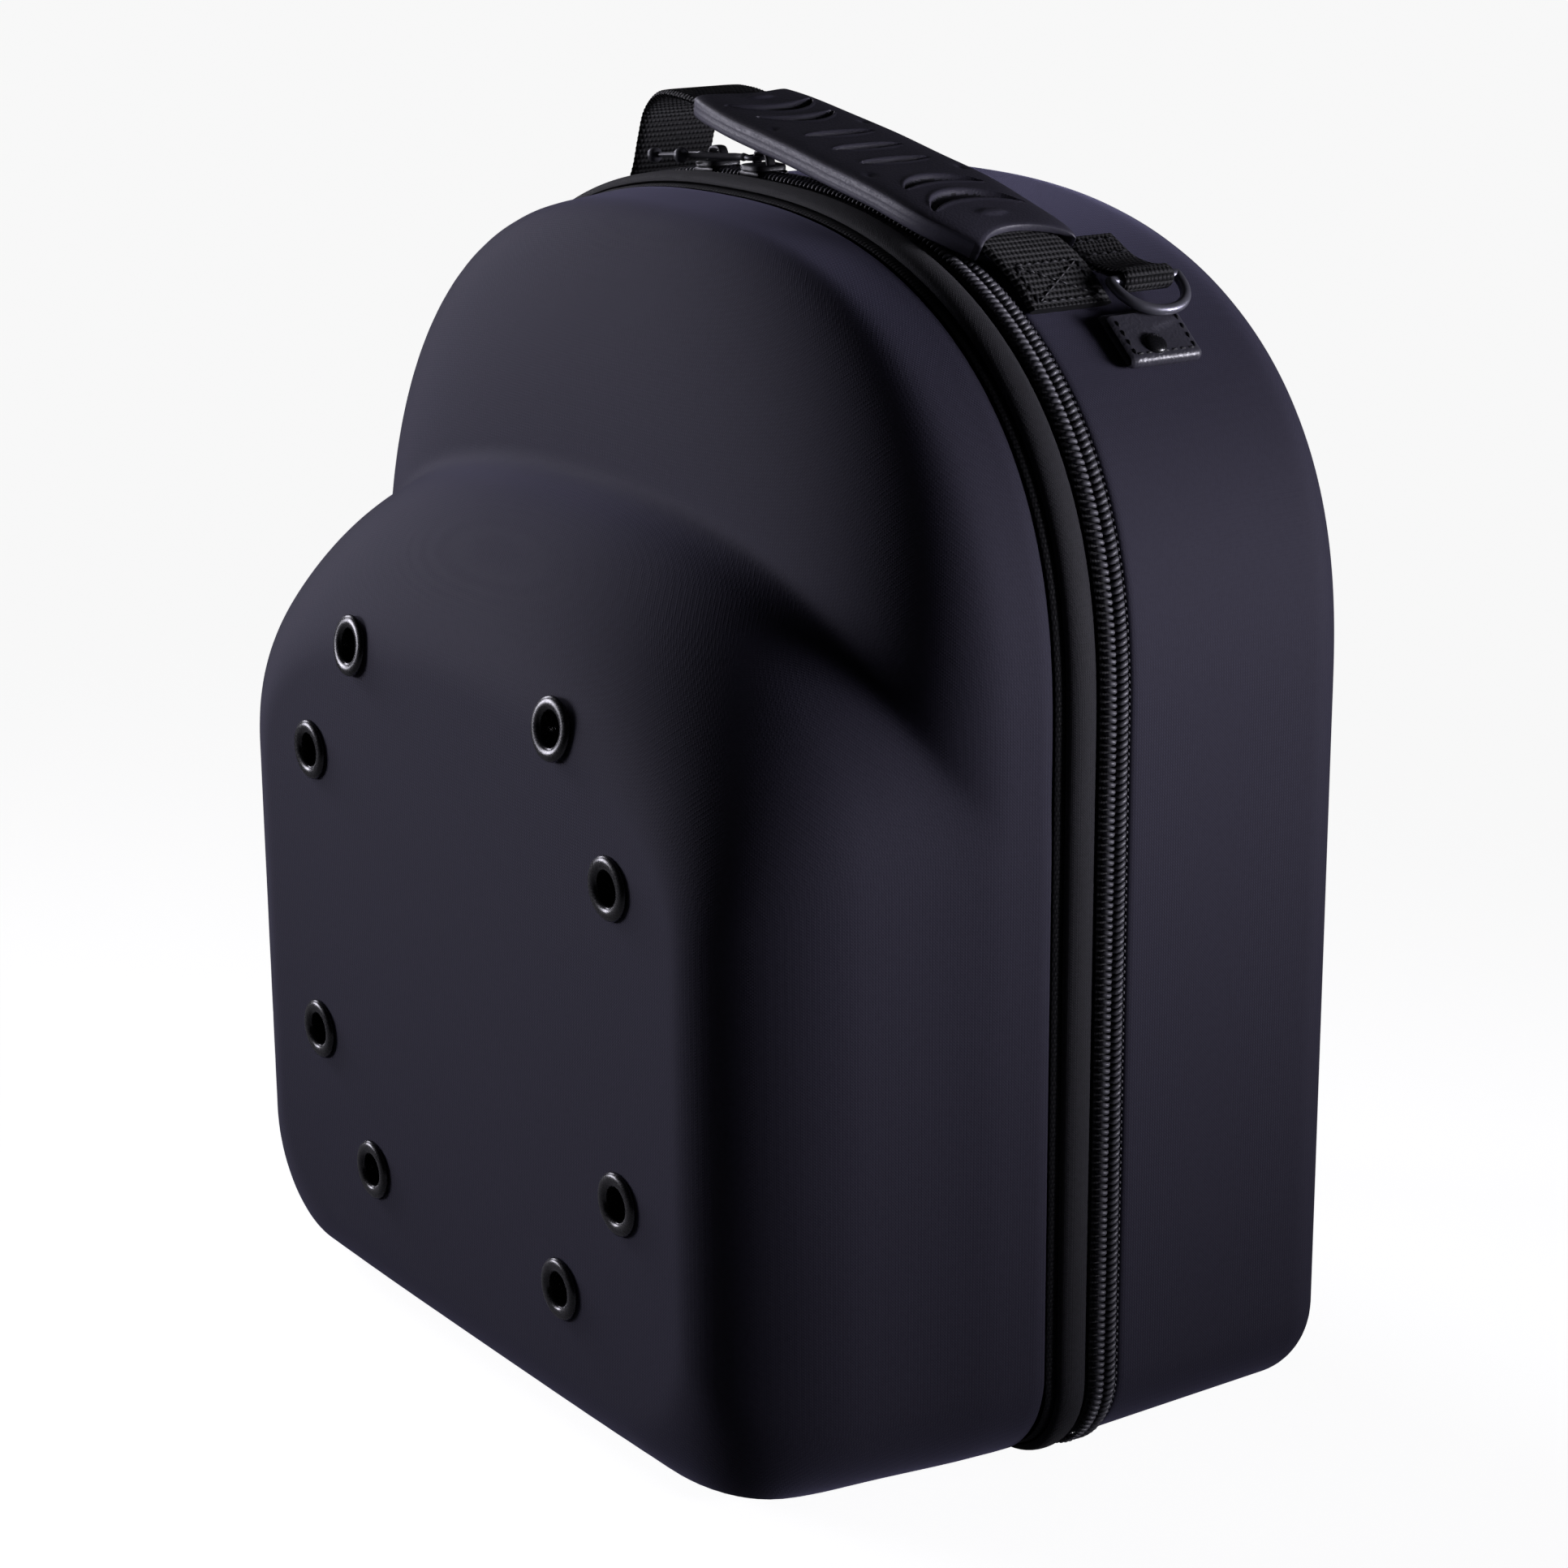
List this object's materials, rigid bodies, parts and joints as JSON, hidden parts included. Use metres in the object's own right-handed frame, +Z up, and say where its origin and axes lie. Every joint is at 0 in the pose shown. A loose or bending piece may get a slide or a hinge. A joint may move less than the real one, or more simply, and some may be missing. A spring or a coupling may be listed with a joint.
{
  "type": "cap carrier",
  "caption": "Hard moulded carry case for baseball caps: arched clamshell with a stepped front, zip around the rim, vent eyelets, top handle and strap rings.",
  "frame": {"origin": "middle of the flat underside, in the plane of the zip", "axes": "+Z up, front of the case (the bill side, with the eyelets) faces -Y, +X to the right seen from the front"},
  "size_m": [0.2564, 0.1671, 0.2969],
  "materials": {
    "shell_fabric": "fine matt fabric bonded over moulded foam, soft sheen",
    "binding": "soft rolled binding tape, matt",
    "zip_tape": "plain woven tape, matt",
    "zip_coil": "spun nylon coil, satin",
    "grip_rubber": "moulded rubber, satin, grooved",
    "webbing": "ribbed woven webbing, matt with a slight lustre",
    "tab": "smooth coated leather, satin",
    "dark_steel": "dark nickel wire, polished",
    "black_metal": "gloss black enamel on metal"
  },
  "bodies": {
    "case": {"front_shell": "shell_fabric", "rear_shell": "shell_fabric", "front_binding": "binding", "zip_tape": "zip_tape", "zip_chain": "zip_coil", "bottom_hinge": "zip_tape", "zip_slider_1": "black_metal", "zip_slider_2": "black_metal", "zip_pull_1": "black_metal", "zip_pull_2": "black_metal", "handle_grip": "grip_rubber", "handle_webbing": "webbing", "ring_loop_right": "webbing", "ring_loop_left": "webbing", "ring_tab_right": "tab", "ring_tab_left": "tab", "tab_rivet_right": "black_metal", "tab_rivet_left": "black_metal", "eyelet_1": "black_metal", "eyelet_2": "black_metal", "eyelet_3": "black_metal", "eyelet_4": "black_metal", "eyelet_5": "black_metal", "eyelet_6": "black_metal", "eyelet_7": "black_metal", "eyelet_8": "black_metal"},
    "ring_right": {"d_ring_right": "dark_steel"},
    "ring_left": {"d_ring_left": "dark_steel"}
  },
  "joints": [
    {"name": "ring_right_swing", "type": "hinge", "parent": "case", "child": "ring_right", "pos_m": [0.08851, 0.038, 0.26348], "axis": [0, -1, 0], "range_deg": [0, 100]},
    {"name": "ring_left_swing", "type": "hinge", "parent": "case", "child": "ring_left", "pos_m": [-0.08851, 0.038, 0.26348], "axis": [0, 1, 0], "range_deg": [0, 100]}
  ]
}
